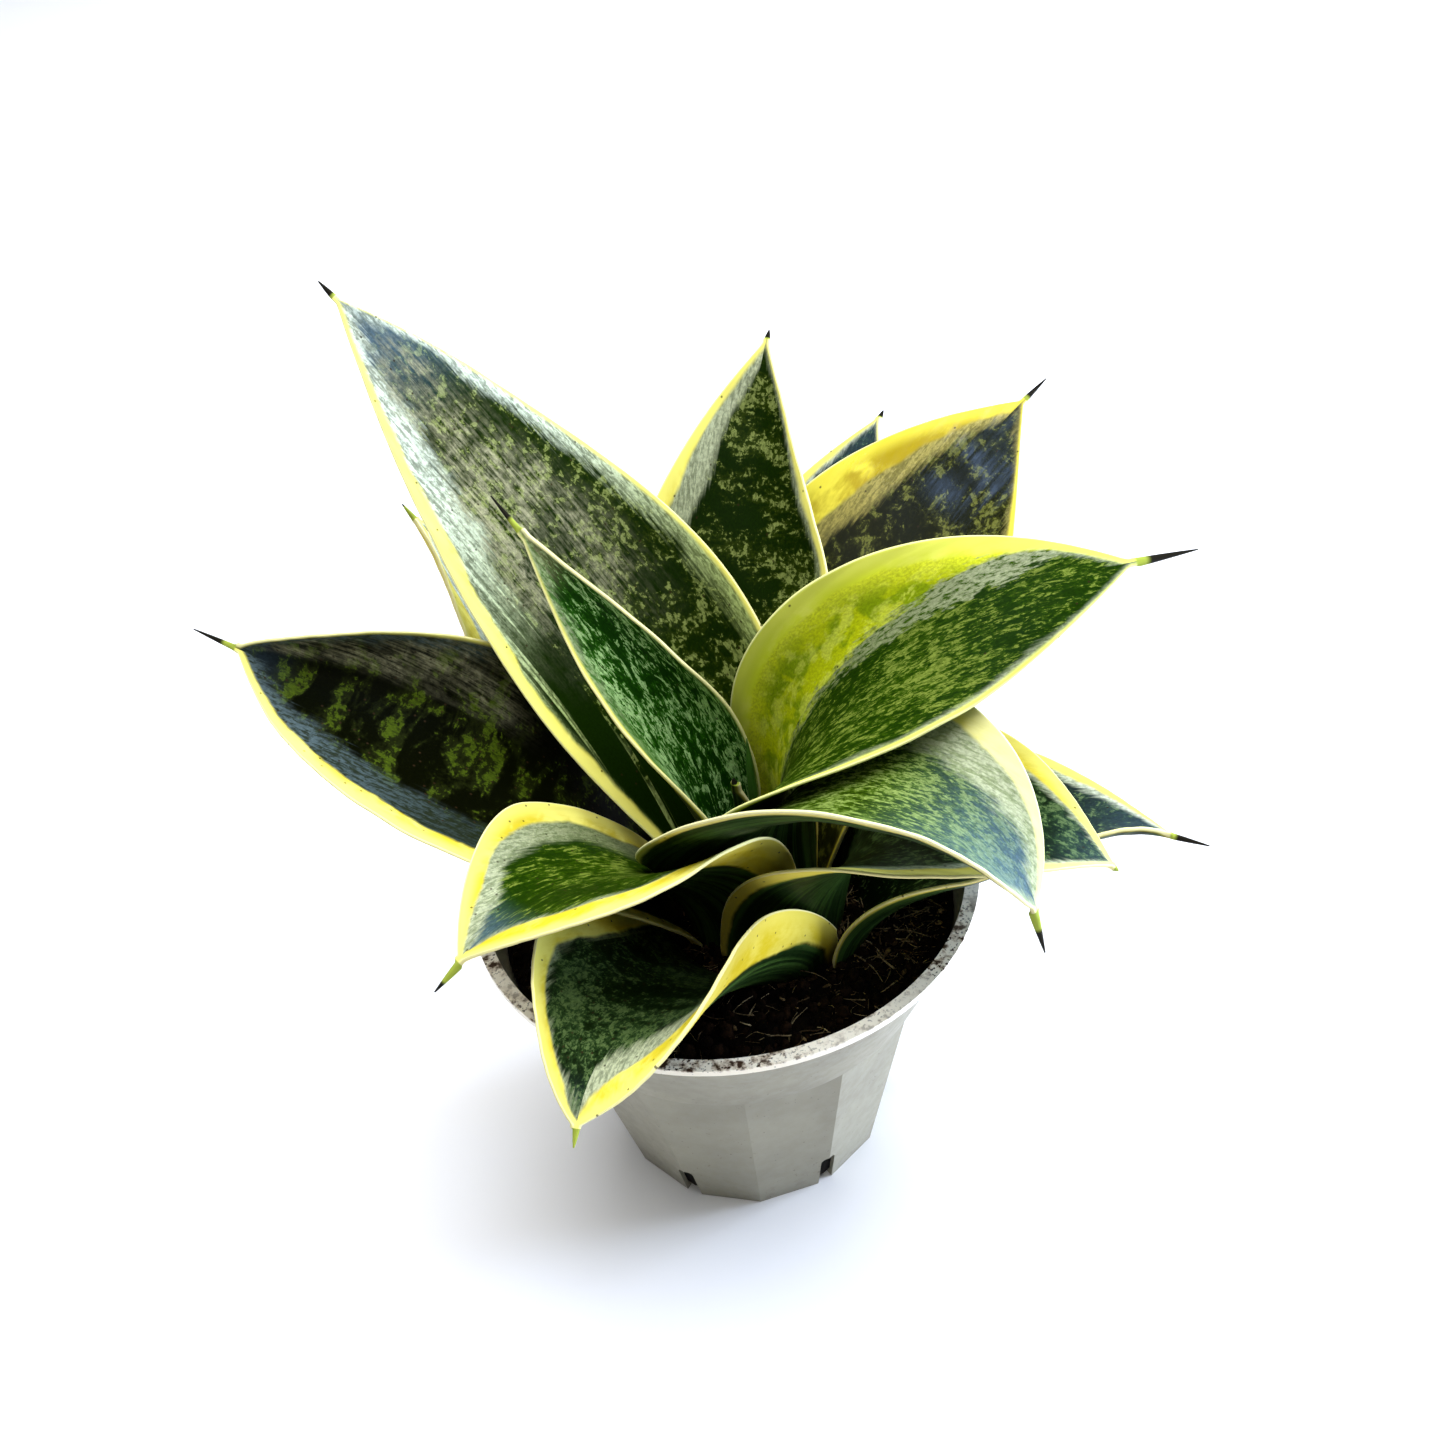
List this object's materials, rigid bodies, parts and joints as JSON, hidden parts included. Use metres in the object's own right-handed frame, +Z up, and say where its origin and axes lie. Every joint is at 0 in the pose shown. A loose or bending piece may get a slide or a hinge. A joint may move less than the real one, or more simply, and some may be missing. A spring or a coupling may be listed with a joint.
{
  "type": "potted ocean star snake plant",
  "caption": "Dwarf rosette snake plant with broad pointed yellow-edged leaves, in soil in a tapering faceted plastic nursery pot that stands on its flat underside.",
  "frame": {"origin": "middle of the pot's flat underside, on the pot's axis", "axes": "+Z up along the pot's axis, -Y toward the viewer of the picture, +X to that viewer's right"},
  "size_m": [0.2213, 0.173, 0.2131],
  "materials": {
    "pot_plastic": "pale grey moulded polypropylene, satin, with soil stains on the lip",
    "peat": "near-black damp peat with tan fibres",
    "rootstock": "dry brown rhizome skin",
    "leaf": "smooth waxy leaf, dark green with silver-green mottling and a lemon-yellow margin",
    "young_leaf": "smooth waxy young leaf, plain green"
  },
  "bodies": {
    "root": {"pot": "pot_plastic", "soil": "peat", "rootstock": "rootstock", "leaf_spike": "young_leaf", "leaf_youngest": "young_leaf", "leaf_inner_left": "leaf", "leaf_inner_right": "leaf", "leaf_upper_left": "leaf", "leaf_front_right": "leaf", "leaf_back": "leaf", "leaf_front_left": "leaf", "leaf_back_right": "leaf", "leaf_right": "leaf", "leaf_left": "leaf", "leaf_front": "leaf", "leaf_low_right": "leaf", "leaf_behind_back_right": "leaf", "leaf_behind_upper_left": "leaf"}
  },
  "joints": []
}
